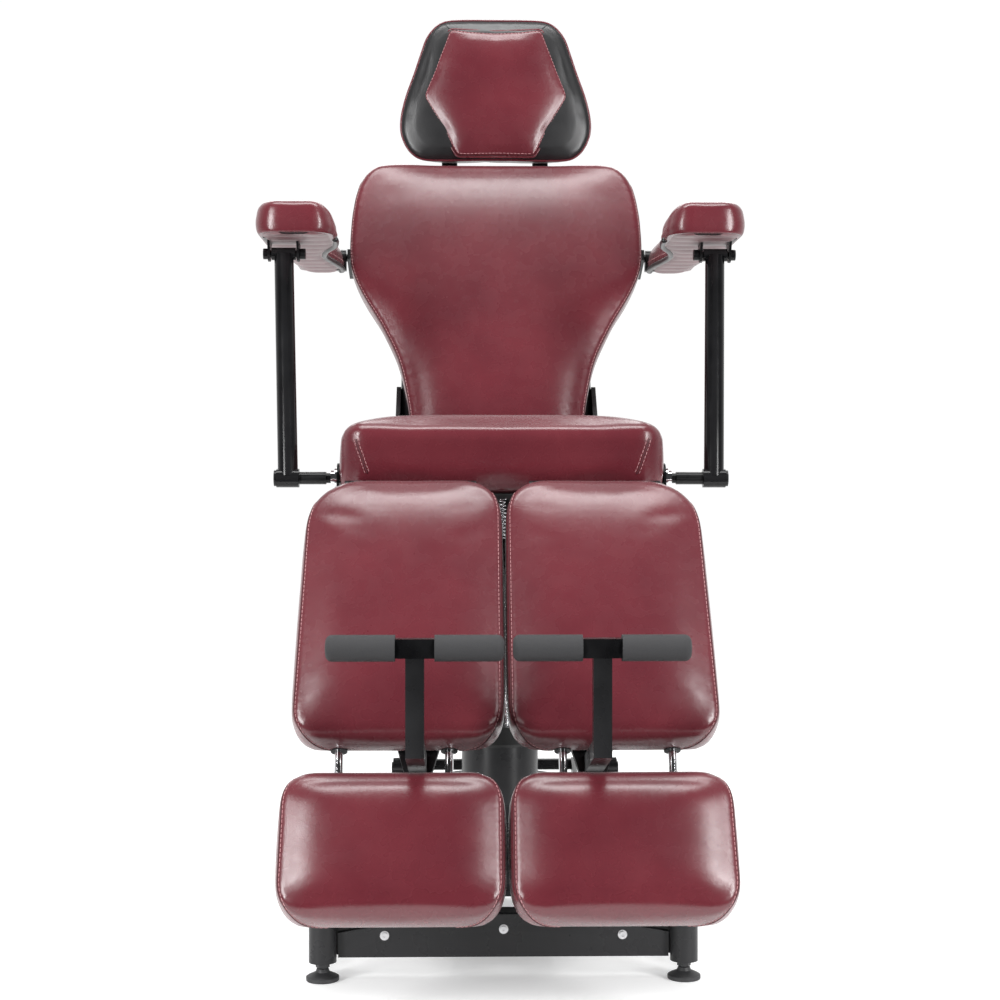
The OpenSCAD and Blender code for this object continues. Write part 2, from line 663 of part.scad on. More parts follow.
// Steel frame behind a leg pad: spine, hinge arms, rod guides and the foot bar's socket.
module leg_frame(side) color([0.09, 0.09, 0.1]) placed() on_side(side) {
    on_leg() {
        translate([foot_bar_x - 30, spine_y, -350]) cube([60, 18, 300]);
        translate([45, spine_y, -50]) cube([195, 16, 28]);
        for (x = knuckle_x) difference() {
            union() {
                bar_x(x, x + knuckle_w, leg_pivot_local, 12);
                plate_x(x, knuckle_w, [[46, 5], [54, 27], [82, 14], [spine_y + 16, 12],
                    [spine_y + 16, -50], [spine_y, -50], [spine_y, 5]]);
            }
            bar_x(x - 1, x + knuckle_w + 1, leg_pivot_local, rod_r + run);
        }
        for (x = rod_xs) translate([x, rod_depth, -leg_len]) difference() {
            union() {
                cylinder(r = guide_r, h = guide_len);
                translate([0, 0, -4]) cylinder(r = guide_r + 3, h = 4);
            }
            translate([0, 0, -10]) cylinder(r = rod_r + run, h = guide_len + 20);
        }
    }
    difference() {
        union() {
            on_leg() translate([0, spine_y + 6, 0]) slab_y(0, 12, [
                [foot_bar_x - 44, -330], [foot_bar_x - 30, -400], [foot_bar_x - 17, -446],
                [foot_bar_x + 17, -446], [foot_bar_x + 30, -400], [foot_bar_x + 44, -330]]);
            along_lower_tube() translate([0, 0, socket_at]) square_bar(34, 64);
        }
        along_lower_tube() translate([0, 0, socket_at - 60]) square_bar(bar_side + 0.6, 200);
        along_lower_tube() translate([0, 0, socket_at + 34]) rotate([0, 90, 0]) cylinder(r = 5.2, h = 40);
    }
}

module leg_frame_left() leg_frame(-1);
module leg_frame_right() leg_frame(1);

rod_in_foot = 150;
rod_in_guide = 190;

module footrest_rods(side) color([0.85, 0.85, 0.86]) placed() on_side(side) on_leg()
    for (x = rod_xs) translate([x, rod_depth, -foot_start - rod_in_foot])
        cylinder(r = rod_r, h = rod_in_foot + foot_start - leg_len + rod_in_guide);

module footrest_rods_left() footrest_rods(-1);
module footrest_rods_right() footrest_rods(1);

foot_in = 6;
foot_outline = round_rect(foot_in, -foot_start - foot_len, foot_in + foot_w, -foot_start,
    [42, 42, 46, 46]);

module footrest_pad(side) color([0.49, 0.22, 0.26]) placed() on_side(side) on_leg() difference() {
    slab_y(0, leg_t, foot_outline);
    for (x = rod_xs) translate([x, rod_depth, -foot_start - rod_in_foot])
        cylinder(r = rod_r, h = rod_in_foot + 50);
}

module footrest_pad_left() footrest_pad(-1);
module footrest_pad_right() footrest_pad(1);

module footrest_board(side) color([0.1, 0.1, 0.1]) placed() on_side(side) on_leg()
    slab_y(leg_t, 8, inset(foot_outline, [foot_in + foot_w / 2, -foot_start - foot_len / 2],
        [foot_w, foot_len], 12));

module footrest_board_left() footrest_board(-1);
module footrest_board_right() footrest_board(1);

// ---- foot bars ----

grip_in = 26.5;                  // half the bare middle of the bar
stem_half = bar_side / 2;
lower_len = socket_at + 60;

// Height of the lower tube's top (s = 1) or bottom (s = -1) edge at y.
function tube_edge(y, s) = bend[1] - (y - bend[0]) * tan(foot_bar_drop)
    + s * stem_half / cos(foot_bar_drop);

// A corner of the lower tube's far end.
function tube_end(s) = bend + lower_len * [cos(foot_bar_drop), -sin(foot_bar_drop)]
    + s * stem_half * [sin(foot_bar_drop), cos(foot_bar_drop)];

module foot_bar(side) color([0.08, 0.08, 0.085]) placed() on_side(side) {
    plate_x(foot_bar_x - stem_half, bar_side, [
        [bend[0] - stem_half, foot_bar_z - 4], [bend[0] - stem_half, tube_edge(bend[0] - stem_half, -1)],
        tube_end(-1), tube_end(1),
        [bend[0] + stem_half, tube_edge(bend[0] + stem_half, 1)], [bend[0] + stem_half, foot_bar_z - 4]]);
    translate([foot_bar_x - grip_in, foot_bar_y - stem_half - 0.5, foot_bar_z - stem_half - 0.5])
        cube([2 * grip_in, bar_side + 1, bar_side + 1]);
    bar_x(foot_bar_x - bar_len / 2 + 4, foot_bar_x + bar_len / 2 - 4, [foot_bar_y, foot_bar_z], 11);
}

module foot_bar_left() foot_bar(-1);
module foot_bar_right() foot_bar(1);

module foot_bar_grips(side) color([0.2, 0.2, 0.21]) placed() on_side(side)
    translate([foot_bar_x, foot_bar_y, foot_bar_z]) for (s = [-1, 1]) rotate([0, s * 90, 0])
        rotate_extrude() polygon(concat([[11, grip_in], [grip_r, grip_in]],
            arc([grip_r - 9, bar_len / 2 - 9], 9, 0, 90, 6),
            [[0, bar_len / 2], [0, bar_len / 2 - 4], [11, bar_len / 2 - 4]]));

module foot_bar_grips_left() foot_bar_grips(-1);
module foot_bar_grips_right() foot_bar_grips(1);

module foot_bar_knob(side) color([0.07, 0.07, 0.07]) placed() on_side(side)
    along_lower_tube() translate([19, 0, socket_at + 34]) rotate([0, 90, 0]) knob(15, 18, 5, 5.5);

module foot_bar_knob_left() foot_bar_knob(-1);
module foot_bar_knob_right() foot_bar_knob(1);

// ---- the parts ----

base_front_bar();
base_rear_bar();
base_rails();
pump_plate();
base_front_panel();
panel_screws();
levelling_feet();
pump_housing();
pump_cylinder();
ram_guide_bush();
ram_wiper_seal();
pump_bolts();
pedal_pin();
pedal_arms();
pedal_tread();
ram();
swivel_hub();
seat_side_rails();
seat_cross_rails();
seat_board();
seat_pad();
arm_mounts();
arm_washers();
recline_brackets();
leg_hinge_ears();
swivel_lever();
recline_lever();
back_hinge_plates();
back_uprights();
back_cross_rails();
back_board();
back_pad();
head_slider();
head_bracket();
head_pad();
head_lock_knob();
arm_post_left();
arm_post_right();
arm_bracket_left();
arm_bracket_right();
arm_pad_left();
arm_pad_right();
leg_frame_left();
leg_frame_right();
leg_board_left();
leg_board_right();
leg_pad_left();
leg_pad_right();
footrest_rods_left();
footrest_rods_right();
footrest_board_left();
footrest_board_right();
footrest_pad_left();
footrest_pad_right();
foot_bar_left();
foot_bar_right();
foot_bar_grips_left();
foot_bar_grips_right();
foot_bar_knob_left();
foot_bar_knob_right();
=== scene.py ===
"""Looks for the reclining client chair: upholstery, stitching, hardware finishes, light and camera."""
import json
import math

import bmesh
import bpy
import numpy as np
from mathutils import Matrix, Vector
from mathutils.bvhtree import BVHTree


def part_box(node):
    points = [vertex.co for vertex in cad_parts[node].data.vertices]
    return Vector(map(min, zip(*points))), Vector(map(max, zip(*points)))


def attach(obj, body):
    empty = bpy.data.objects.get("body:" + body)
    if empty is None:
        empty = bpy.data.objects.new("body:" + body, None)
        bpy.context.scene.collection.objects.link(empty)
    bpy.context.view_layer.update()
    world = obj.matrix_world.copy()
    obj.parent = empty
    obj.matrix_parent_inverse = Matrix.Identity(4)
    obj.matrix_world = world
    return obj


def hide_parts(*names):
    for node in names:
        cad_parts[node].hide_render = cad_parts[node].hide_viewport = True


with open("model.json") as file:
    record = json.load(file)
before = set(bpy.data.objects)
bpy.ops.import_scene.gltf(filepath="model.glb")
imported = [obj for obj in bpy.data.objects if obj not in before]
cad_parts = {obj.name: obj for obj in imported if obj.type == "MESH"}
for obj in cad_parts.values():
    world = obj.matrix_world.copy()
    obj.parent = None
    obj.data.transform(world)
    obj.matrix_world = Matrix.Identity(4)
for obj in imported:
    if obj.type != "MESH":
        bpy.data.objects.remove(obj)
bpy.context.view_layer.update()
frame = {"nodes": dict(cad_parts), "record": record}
nodes = frame["nodes"]
MM = 0.001

# ---- camera ----

COLUMN_Y = float(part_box("ram")[0][1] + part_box("ram")[1][1]) / 2
CAMERA_BACK = 2.95            # from the column's axis, in metres
CAMERA_SIDE = -0.06
CAMERA_HEIGHT = 0.724
CAMERA_YAW = math.radians(1.17)

camera = bpy.data.objects.new("camera", bpy.data.cameras.new("camera"))
bpy.context.collection.objects.link(camera)
camera.data.lens = 63.5
camera.data.sensor_width = 36.0
camera.location = (CAMERA_SIDE, COLUMN_Y - CAMERA_BACK, CAMERA_HEIGHT)
camera.rotation_euler = (math.radians(90), 0, -CAMERA_YAW)
bpy.context.scene.camera = camera

# ---- materials ----


def node_material(name):
    """A new material with its Principled shader and a helper that adds and links nodes."""
    material = bpy.data.materials.new(name)
    material.use_nodes = True
    tree = material.node_tree
    shader = tree.nodes["Principled BSDF"]

    def add(kind, inputs=None, **settings):
        made = tree.nodes.new(kind)
        for key, value in settings.items():
            setattr(made, key, value)
        for key, value in (inputs or {}).items():
            if isinstance(value, bpy.types.NodeSocket):
                tree.links.new(value, made.inputs[key])
            else:
                made.inputs[key].default_value = value
        return made

    return material, tree, shader, add


def ramp_node(add, fac, stops):
    """A colour ramp through (place, colour) stops."""
    made = add("ShaderNodeValToRGB", {"Fac": fac})
    ramp = made.color_ramp
    while len(ramp.elements) < len(stops):
        ramp.elements.new(0.5)
    for element, (place, colour) in zip(ramp.elements, stops):
        element.position = place
        element.color = (*colour, 1.0)
    return made


PEBBLES = 1500.0              # the leatherette's grain, as a noise scale
PEBBLE_BUMP = 0.12
ORANGE_PEEL = 900.0           # the powder coat's texture, as a noise scale


def leatherette(name, dark, light, roughness):
    """Coated upholstery cloth: pebble grain, fine creases, and a slow drift of colour and gloss."""
    material, tree, shader, add = node_material(name)
    place = add("ShaderNodeTexCoord").outputs["Object"]
    drift = add("ShaderNodeTexNoise", {"Vector": place, "Scale": 9.0, "Detail": 3.0}).outputs["Fac"]
    colour = ramp_node(add, drift, [(0.3, dark), (0.72, light)])
    pebble = add("ShaderNodeTexVoronoi", {"Vector": place, "Scale": PEBBLES / 2.2}).outputs["Distance"]
    fine = add("ShaderNodeTexNoise", {"Vector": place, "Scale": PEBBLES, "Detail": 2.0}).outputs["Fac"]
    crease = add("ShaderNodeTexNoise", {"Vector": place, "Scale": 42.0, "Detail": 2.0}).outputs["Fac"]
    speckle = ramp_node(add, pebble, [(0.0, (1.0, 1.0, 1.0)), (0.75, (0.86, 0.86, 0.86))])
    tinted = add("ShaderNodeMix", {"Factor": 1.0, "A": colour.outputs["Color"],
                                   "B": speckle.outputs["Color"]}, data_type="RGBA", blend_type="MULTIPLY")
    tree.links.new(tinted.outputs["Result"], shader.inputs["Base Color"])
    gloss = add("ShaderNodeMapRange", {"Value": crease, "From Min": 0.3, "From Max": 0.7,
                                       "To Min": roughness - 0.015, "To Max": roughness + 0.02})
    tree.links.new(gloss.outputs["Result"], shader.inputs["Roughness"])
    soft = add("ShaderNodeBump", {"Height": crease, "Strength": 0.03, "Distance": 0.002})
    pebbled = add("ShaderNodeBump", {"Height": pebble, "Strength": PEBBLE_BUMP, "Distance": 0.0006,
                                     "Normal": soft.outputs["Normal"]})
    surface = add("ShaderNodeBump", {"Height": fine, "Strength": PEBBLE_BUMP * 0.6, "Distance": 0.0004,
                                     "Normal": pebbled.outputs["Normal"]})
    tree.links.new(surface.outputs["Normal"], shader.inputs["Normal"])
    shader.inputs["Sheen Weight"].default_value = 0.12
    shader.inputs["Sheen Roughness"].default_value = 0.4
    shader.inputs["Specular IOR Level"].default_value = 0.7
    return material


def paint(name, colour, roughness, bump=0.05, worn=0.25):
    """Powder coat: fine orange peel, with edges and corners a little lighter from handling."""
    material, tree, shader, add = node_material(name)
    place = add("ShaderNodeTexCoord").outputs["Object"]
    peel = add("ShaderNodeTexNoise", {"Vector": place, "Scale": ORANGE_PEEL, "Detail": 1.0}).outputs["Fac"]
    cloud = add("ShaderNodeTexNoise", {"Vector": place, "Scale": 22.0, "Detail": 5.0}).outputs["Fac"]
    lighter = tuple(c * 1.7 + 0.002 for c in colour)
    tone = ramp_node(add, cloud, [(0.35, colour), (0.75, lighter)])
    edge = add("ShaderNodeNewGeometry").outputs["Pointiness"]
    wear = ramp_node(add, edge, [(0.52, (0, 0, 0)), (0.62, (worn, worn, worn))])
    base = add("ShaderNodeMix", {"Factor": wear.outputs["Color"], "A": tone.outputs["Color"],
                                 "B": (0.08, 0.08, 0.083, 1.0)}, data_type="RGBA")
    tree.links.new(base.outputs["Result"], shader.inputs["Base Color"])
    gloss = add("ShaderNodeMapRange", {"Value": cloud, "From Min": 0.3, "From Max": 0.7,
                                       "To Min": roughness - 0.04, "To Max": roughness + 0.08})
    tree.links.new(gloss.outputs["Result"], shader.inputs["Roughness"])
    surface = add("ShaderNodeBump", {"Height": peel, "Strength": bump, "Distance": 0.0004})
    tree.links.new(surface.outputs["Normal"], shader.inputs["Normal"])
    shader.inputs["Specular IOR Level"].default_value = 0.25
    return material


def metal(name, colour, roughness, grain=(1.0, 1.0, 1.0), scale=300.0, bump=0.02):
    """Bare or plated metal; a stretched grain gives turning or brushing marks."""
    material, tree, shader, add = node_material(name)
    place = add("ShaderNodeTexCoord").outputs["Object"]
    stretched = add("ShaderNodeMapping", {"Vector": place, "Scale": grain}).outputs["Vector"]
    marks = add("ShaderNodeTexNoise", {"Vector": stretched, "Scale": scale, "Detail": 3.0}).outputs["Fac"]
    smear = add("ShaderNodeTexNoise", {"Vector": place, "Scale": 30.0, "Detail": 4.0}).outputs["Fac"]
    darker = tuple(c * 0.82 for c in colour)
    tone = ramp_node(add, smear, [(0.3, darker), (0.7, colour)])
    tree.links.new(tone.outputs["Color"], shader.inputs["Base Color"])
    gloss = add("ShaderNodeMapRange", {"Value": marks, "From Min": 0.25, "From Max": 0.75,
                                       "To Min": max(0.03, roughness - 0.05), "To Max": roughness + 0.08})
    tree.links.new(gloss.outputs["Result"], shader.inputs["Roughness"])
    surface = add("ShaderNodeBump", {"Height": marks, "Strength": bump, "Distance": 0.0003})
    tree.links.new(surface.outputs["Normal"], shader.inputs["Normal"])
    shader.inputs["Metallic"].default_value = 1.0
    return material


def matte(name, dark, light, roughness, scale, bump):
    """Foam, rubber, moulded plastic or backing cloth: speckled colour over a grainy surface."""
    material, tree, shader, add = node_material(name)
    place = add("ShaderNodeTexCoord").outputs["Object"]
    grains = add("ShaderNodeTexNoise", {"Vector": place, "Scale": scale, "Detail": 4.0}).outputs["Fac"]
    tone = ramp_node(add, grains, [(0.3, dark), (0.7, light)])
    tree.links.new(tone.outputs["Color"], shader.inputs["Base Color"])
    cells = add("ShaderNodeTexVoronoi", {"Vector": place, "Scale": scale * 0.8}).outputs["Distance"]
    surface = add("ShaderNodeBump", {"Height": cells, "Strength": bump, "Distance": 0.0006})
    tree.links.new(surface.outputs["Normal"], shader.inputs["Normal"])
    gloss = add("ShaderNodeMapRange", {"Value": grains, "To Min": roughness - 0.06,
                                       "To Max": roughness + 0.06})
    tree.links.new(gloss.outputs["Result"], shader.inputs["Roughness"])
    return material


BURGUNDY = leatherette("burgundy_leatherette", (0.112, 0.014, 0.022), (0.146, 0.021, 0.030), 0.27)
BLACK_LEATHER = leatherette("black_leatherette", (0.005, 0.005, 0.006), (0.010, 0.010, 0.011), 0.36)
# The underside lining is burgundy leatherette painted lighter and greyer: a painted reflection of the white
# floor on its glossy face.
LINING_WITH_PAINTED_REFLECTION = leatherette("lining_leatherette_painted_reflection", (0.16, 0.06, 0.07), (0.24, 0.11, 0.12), 0.4)
# The seam folds are a darker burgundy than the cover: a real raised fold, coloured with painted shade of the
# crease along each seam.
SEAM_SHADE = matte("seam_fold_painted_shade", (0.05, 0.008, 0.012), (0.09, 0.015, 0.02), 0.5, 900.0, 0.2)
THREAD = matte("stitch_thread", (0.42, 0.20, 0.21), (0.56, 0.30, 0.31), 0.6, 2500.0, 0.5)
BLACK_THREAD = matte("black_thread", (0.02, 0.02, 0.02), (0.05, 0.05, 0.05), 0.6, 2500.0, 0.5)
FINISHES = {
    "burgundy_leatherette": BURGUNDY,
    "black_board": matte("black_board", (0.012, 0.012, 0.013), (0.03, 0.03, 0.031), 0.75, 1300.0, 0.35),
    "black_steel": paint("black_steel", (0.003, 0.003, 0.0034), 0.27),
    "gloss_black_tube": paint("gloss_black_tube", (0.003, 0.003, 0.0035), 0.14, bump=0.02, worn=0.1),
    "chrome": metal("chrome", (0.86, 0.86, 0.88), 0.08),
    "zinc": metal("zinc", (0.72, 0.72, 0.73), 0.3, scale=500.0, bump=0.08),
    "bronze": metal("bronze", (0.55, 0.36, 0.14), 0.3, grain=(1, 1, 8)),
    "seal_rubber": matte("seal_rubber", (0.012, 0.012, 0.012), (0.022, 0.022, 0.022), 0.6, 700.0, 0.15),
    "tread_aluminium": metal("tread_aluminium", (0.70, 0.71, 0.72), 0.34, grain=(1, 12, 1), bump=0.12),
    "grip_foam": matte("grip_foam", (0.026, 0.026, 0.028), (0.046, 0.046, 0.048), 0.82, 1600.0, 0.5),
    "black_plastic": matte("black_plastic", (0.014, 0.014, 0.015), (0.024, 0.024, 0.026), 0.45, 900.0, 0.2),
    "foot_rubber": matte("foot_rubber", (0.02, 0.02, 0.021), (0.036, 0.036, 0.038), 0.55, 600.0, 0.15),
}

node_slots = {row["node"]: row["material_slot"] for row in frame["record"]["subparts"]}
for node_name, node_object in nodes.items():
    for place in node_object.material_slots:
        place.material = FINISHES[node_slots[node_name]]


# ---- mesh helpers ----


def new_piece(name, verts, faces, material):
    """A smooth-shaded object made from vertices and faces."""
    mesh = bpy.data.meshes.new(name)
    mesh.from_pydata([tuple(v) for v in verts], [], faces)
    mesh.validate()
    piece = bpy.data.objects.new(name, mesh)
    bpy.context.collection.objects.link(piece)
    mesh.materials.append(material)
    mesh.shade_smooth()
    return piece


def tidy_normals(piece):
    """Turns every face of the piece outwards."""
    shape = bmesh.new()
    shape.from_mesh(piece.data)
    bmesh.ops.recalc_face_normals(shape, faces=shape.faces)
    shape.to_mesh(piece.data)
    shape.free()


def apply_modifiers(piece):
    """Puts what the modifiers make into the mesh, and takes the modifiers off."""
    graph = bpy.context.evaluated_depsgraph_get()
    made = bpy.data.meshes.new_from_object(piece.evaluated_get(graph))
    old = piece.data
    piece.modifiers.clear()
    piece.data = made
    bpy.data.meshes.remove(old)


def tube(path, radius, sides=8, closed=False):
    """Vertices and faces of a round tube along a path of points."""
    path = np.asarray(path, float)
    count = len(path)
    if closed:
        ahead = np.roll(path, -1, 0) - np.roll(path, 1, 0)
    else:
        ahead = np.gradient(path, axis=0)
    ahead /= np.maximum(np.linalg.norm(ahead, axis=1), 1e-12)[:, None]
    side = np.cross(ahead[0], [0.31, 0.17, 0.93])
    rings = []
    for direction in ahead:
        side = side - direction * side.dot(direction)
        side /= np.linalg.norm(side)
        rings.append((side.copy(), np.cross(direction, side)))
    turn = np.linspace(0, 2 * math.pi, sides, endpoint=False)
    verts = [path[i] + radius * (math.cos(a) * rings[i][0] + math.sin(a) * rings[i][1])
             for i in range(count) for a in turn]
    faces = []
    for i in range(count if closed else count - 1):
        j = (i + 1) % count
        for k in range(sides):
            m = (k + 1) % sides
            faces.append((i * sides + k, i * sides + m, j * sides + m, j * sides + k))
    if not closed:
        faces += [tuple(range(sides))[::-1], tuple((count - 1) * sides + k for k in range(sides))]
    return verts, faces


def join_parts(name, parts, material):
    """One piece made of several (verts, faces) parts."""
    verts, faces = [], []
    for part_verts, part_faces in parts:
        start = len(verts)
        verts += list(part_verts)
        faces += [tuple(start + i for i in face) for face in part_faces]
    piece = new_piece(name, verts, faces, material)
    tidy_normals(piece)
    return piece


def even_points(path, count=None, step=None, closed=False):
    """The path resampled at even distances, by count or by step."""
    path = np.asarray(path, float)
    if closed:
        path = np.vstack([path, path[:1]])
    length = np.concatenate([[0], np.cumsum(np.linalg.norm(np.diff(path, axis=0), axis=1))])
    if count is None:
        count = max(2, int(round(length[-1] / step)) + 1)
    at = np.linspace(0, length[-1], count, endpoint=not closed)
    return np.column_stack([np.interp(at, length, path[:, k]) for k in range(path.shape[1])])


# ---- pad spaces ----


class Plane:
    """A pad's own space: u across, v up the pad, w into the pad from its face."""

    def __init__(self, v, w):
        self.u = np.array([1.0, 0.0, 0.0])
        self.v = np.array(v, float)
        self.w = np.array(w, float)

    def local(self, points):
        points = np.asarray(points, float)
        return np.column_stack([points @ self.u, points @ self.v, points @ self.w])

    def world(self, points):
        points = np.asarray(points, float)
        return points[:, :1] * self.u + points[:, 1:2] * self.v + points[:, 2:3] * self.w


def leaning(degrees):
    """The plane of a pad that leans back from upright by so many degrees."""
    a = math.radians(degrees)
    return Plane((0, math.sin(a), math.cos(a)), (0, math.cos(a), -math.sin(a)))


BACK = leaning(18)
LEGS = leaning(30)
UPRIGHT = leaning(0)
FLAT = Plane((0, 1, 0), (0, 0, -1))


ON_FACE = 2e-5                # how near to the face's depth a vertex on the face lies, in metres


def face_outline(node, plane):
    """The outline of a CAD pad's face, its face's depth and the pad's thickness, in the plane's space."""
    mesh = nodes[node].data
    points = plane.local([v.co for v in mesh.vertices])
    depth = points[:, 2].min()
    on_face = [p for p in mesh.polygons if all(abs(points[i, 2] - depth) < ON_FACE for i in p.vertices)]
    keys = {i: tuple(np.round(points[i, :2], 6)) for p in on_face for i in p.vertices}
    edges = {}
    for polygon in on_face:
        ring = list(polygon.vertices)
        for a, b in zip(ring, ring[1:] + ring[:1]):
            pair = (keys[a], keys[b])
            if pair[::-1] in edges:
                del edges[pair[::-1]]
            else:
                edges[pair] = True
    following = {a: b for a, b in edges}
    loops = []
    while following:
        start = next(iter(following))
        loop, at = [start], following.pop(start)
        while at != start and at in following:
            loop.append(at)
            at = following.pop(at)
        loops.append(loop)
    outline = np.array(max(loops, key=len))
    return outline, depth, points[:, 2].max() - depth


def box_outline(low, high, radius):
    """A rounded rectangle, counter-clockwise."""
    turns = [(high[0] - radius, low[1] + radius, -90), (high[0] - radius, high[1] - radius, 0),
             (low[0] + radius, high[1] - radius, 90), (low[0] + radius, low[1] + radius, 180)]
    return np.array([(x + radius * math.cos(math.radians(a + d)), y + radius * math.sin(math.radians(a + d)))
                     for x, y, a in turns for d in range(0, 91, 10)])


RING_POINTS = 230             # points round a cushion's outline
SIDEWAYS = 0.985              # a wall whose normal points this far sideways is a side, not a corner
CORNER = 0.97                 # below this it has begun to turn the corner
END_SHARE = 0.3               # of the length, from the middle, past which a corner is looked for


class PadShape:
    """The surface of a padded slab, found from a place round its outline and a place on its profile.

    Sizes are in millimetres: side_r and end_r round the face's edge at the sides and at the ends, back_r
    rounds the back edge, crown is the rise of the face's middle, start_in moves the outline inwards, taper
    narrows the back, swell bulges the wall, and inner_extra adds to the rounding on the side towards the
    chair's middle. A larger flat keeps the crown level nearer to the edges."""

    def __init__(self, outline, depth, thickness, plane, crown, side_r, end_r, back_r=5, start_in=-1,
                 taper=0.0, swell=1.5, flat=4.5, inner_extra=0.0):
        area = 0.5 * np.sum(outline[:, 0] * np.roll(outline[:, 1], -1)
                            - np.roll(outline[:, 0], -1) * outline[:, 1])
        if area < 0:
            outline = outline[::-1]
        points = even_points(outline, count=RING_POINTS, closed=True)
        ahead = np.roll(points, -2, 0) - np.roll(points, 2, 0)
        ahead /= np.linalg.norm(ahead, axis=1)[:, None]
        self.normals = np.column_stack([ahead[:, 1], -ahead[:, 0]])
        self.points = points - self.normals * start_in * MM
        self.plane = plane
        self.depth = depth
        self.thickness = thickness
        self.swell = swell * MM
        self.flat = flat
        ends = np.abs(self.normals[:, 1]) ** 3
        self.edge_r = (side_r + (end_r - side_r) * ends) * MM
        self.edge_r += inner_extra * MM * np.clip(-self.normals[:, 0], 0, 1) ** 2
        self.back_r = back_r * MM
        self.crown = crown * MM
        self.taper = taper * MM
        self.middle = (points.max(0) + points.min(0)) / 2
        self.half = (points.max(0) - points.min(0)) / 2

    def side(self, q):
        """Local points at q on the profile: 0 face edge, 0.5 end of the front rounding, 1 back edge."""
        r = self.edge_r
        wall = self.thickness - r - self.back_r
        if q <= 0.5:
            turn = q * math.pi
            inset, depth = r * (1 - math.sin(turn)), r * (1 - math.cos(turn))
        else:
            s = (q - 0.5) * 2
            inset = self.taper * s - self.swell * math.sin(math.pi * s)
            depth = r + wall * s
        flat = self.points - self.normals * np.asarray(inset).reshape(-1, 1)
        return np.column_stack([flat, self.depth + np.broadcast_to(depth, (RING_POINTS,))])

    def loops(self):
        """Rings from the face's middle over its edge, down the wall and round to the back's middle."""
        base = self.side(0)
        rings = []
        for s in np.linspace(0.05, 1, 16):
            ring = base.copy()
            ring[:, :2] = self.middle + (base[:, :2] - self.middle) * s
            place = np.abs(ring[:, :2] - self.middle) / self.half
            bulge = (1 - place[:, 0] ** self.flat) * (1 - place[:, 1] ** self.flat)
            ring[:, 2] = self.depth - self.crown * np.clip(bulge, 0, 1) * (1 - s ** 8)
            rings.append(ring)
        rings += [self.side(q) for q in np.linspace(0.07, 0.5, 7)]
        rings += [self.side(q) for q in np.linspace(0.56, 1, 8)]
        edge = rings[-1]
        for s in (0.3, 0.7, 1.0):
            ring = edge.copy()
            ring[:, :2] -= self.normals * self.back_r * math.sin(s * math.pi / 2)
            ring[:, 2] += self.back_r * (1 - math.cos(s * math.pi / 2))
            rings.append(ring)
        last = rings[-1]
        for s in (0.8, 0.5, 0.2, 0.05):
            ring = last.copy()
            ring[:, :2] = self.middle + (last[:, :2] - self.middle) * s
            rings.append(ring)
        return rings

    def piece(self, name, material, bend=None):
        """The slab as a closed mesh, with its local points moved by bend."""
        rings = self.loops()
        if bend is not None:
            rings = [bend(r) for r in rings]
        n = RING_POINTS
        verts = [self.plane.world(r) for r in rings]
        faces = [(i * n + k, i * n + (k + 1) % n, (i + 1) * n + (k + 1) % n, (i + 1) * n + k)
                 for i in range(len(rings) - 1) for k in range(n)]
        faces += [tuple(range(n)), tuple((len(rings) - 1) * n + k for k in range(n))[::-1]]
        made = new_piece(name, np.vstack(verts), faces, material)
        tidy_normals(made)
        return made

    def seam(self, side, front, run, bend=None):
        """World points of the seam down one side (1 right, -1 left): along the face's edge, then
        across each rounded corner and the end wall to the back edge, which takes run millimetres."""
        lined = np.where(self.normals[:, 0] * side > SIDEWAYS)[0]
        middle = lined[np.argmin(np.abs(self.points[lined, 1] - self.points[lined, 1].mean()))]
        halves = []
        for way in (1, -1):
            path, turned = [], 0.0
            i = middle
            while turned < run * MM:
                s = turned / (run * MM)
                q = front + (1 - front) * s * s * (3 - 2 * s)
                path.append(self.side(q)[i])
                j = (i + way) % RING_POINTS
                near_end = abs(self.points[j, 1] - self.middle[1]) > END_SHARE * np.ptp(self.points[:, 1])
                if turned > 0 or (near_end and self.normals[j, 0] * side < CORNER):
                    turned += np.linalg.norm(self.points[j] - self.points[i])
                i = j
            halves.append(path)
        path = np.array(halves[1][::-1] + halves[0][1:])
        if bend is not None:
            path = bend(path)
        return self.plane.world(path)


# ---- cushions ----

SIM_FRAMES = 20
PRESSURE = 4.0                # inside a cushion while Cloth puffs it up
PIN_REACH = 0.012             # how far a seam's hold reaches, in metres
OWN_SHARE = 0.4               # of a point's own movement that each evening keeps


def evened(moved, edges, times):
    """Each point's movement averaged with its neighbours', so that only broad folds stay."""
    count = np.zeros(len(moved))
    np.add.at(count, edges[:, 0], 1)
    np.add.at(count, edges[:, 1], 1)
    for _ in range(times):
        total = np.zeros_like(moved)
        for k in range(3):
            total[:, k] = np.bincount(edges[:, 0], moved[edges[:, 1], k], len(moved))
            total[:, k] += np.bincount(edges[:, 1], moved[edges[:, 0], k], len(moved))
        moved = OWN_SHARE * moved + (1 - OWN_SHARE) * total / np.maximum(count, 1)[:, None]
    return moved


